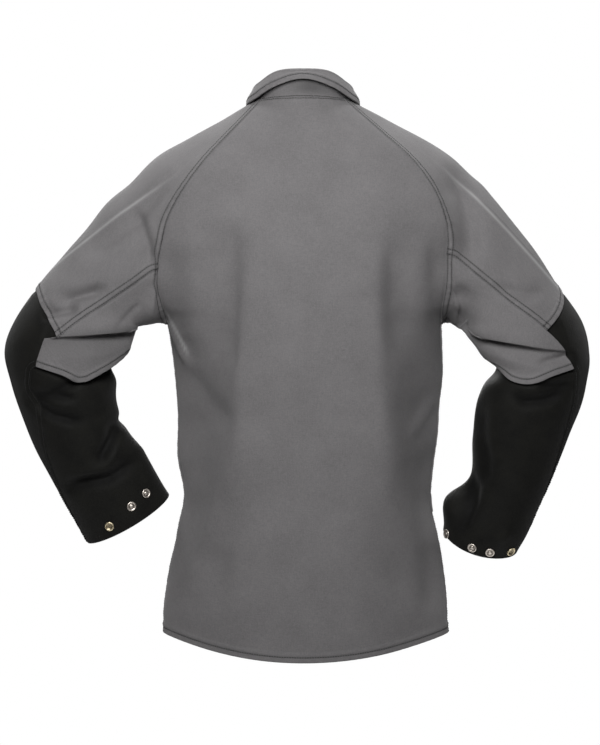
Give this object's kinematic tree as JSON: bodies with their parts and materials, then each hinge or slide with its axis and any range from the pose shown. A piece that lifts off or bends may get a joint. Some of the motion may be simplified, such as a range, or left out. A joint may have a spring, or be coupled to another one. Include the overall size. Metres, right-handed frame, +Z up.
{
  "type": "welding jacket",
  "caption": "Raglan-sleeved welding jacket in grey cotton with black split-leather lower sleeves, a folded collar and snaps at the cuffs, in its worn form.",
  "frame": {"origin": "middle of the neck opening, level with the back neck seam, where the wearer's neck holds the jacket", "axes": "+Z up, the wearer faces -Y, and the wearer's left sleeve is on +X"},
  "size_m": [0.7899, 0.2715, 0.7934],
  "materials": {
    "cotton": "matt woven flame-proof cotton, mid grey",
    "leather": "black split leather with a short nap",
    "nickel": "nickel-plated snap",
    "brass": "pale brass snap"
  },
  "bodies": {
    "root": {"back_panel": "cotton", "left_front": "cotton", "right_front": "cotton", "front_fly": "cotton", "collar": "cotton", "left_sleeve_top": "cotton", "left_sleeve_under": "cotton", "left_forearm_outer": "leather", "left_forearm_inner": "leather", "left_cuff_snap_1": "nickel", "left_cuff_snap_2": "nickel", "left_cuff_snap_3": "brass", "left_cuff_snap_4": "nickel", "right_sleeve_top": "cotton", "right_sleeve_under": "cotton", "right_forearm_outer": "leather", "right_forearm_inner": "leather", "right_cuff_snap_1": "nickel", "right_cuff_snap_2": "nickel", "right_cuff_snap_3": "brass", "right_cuff_snap_4": "nickel"}
  },
  "joints": []
}
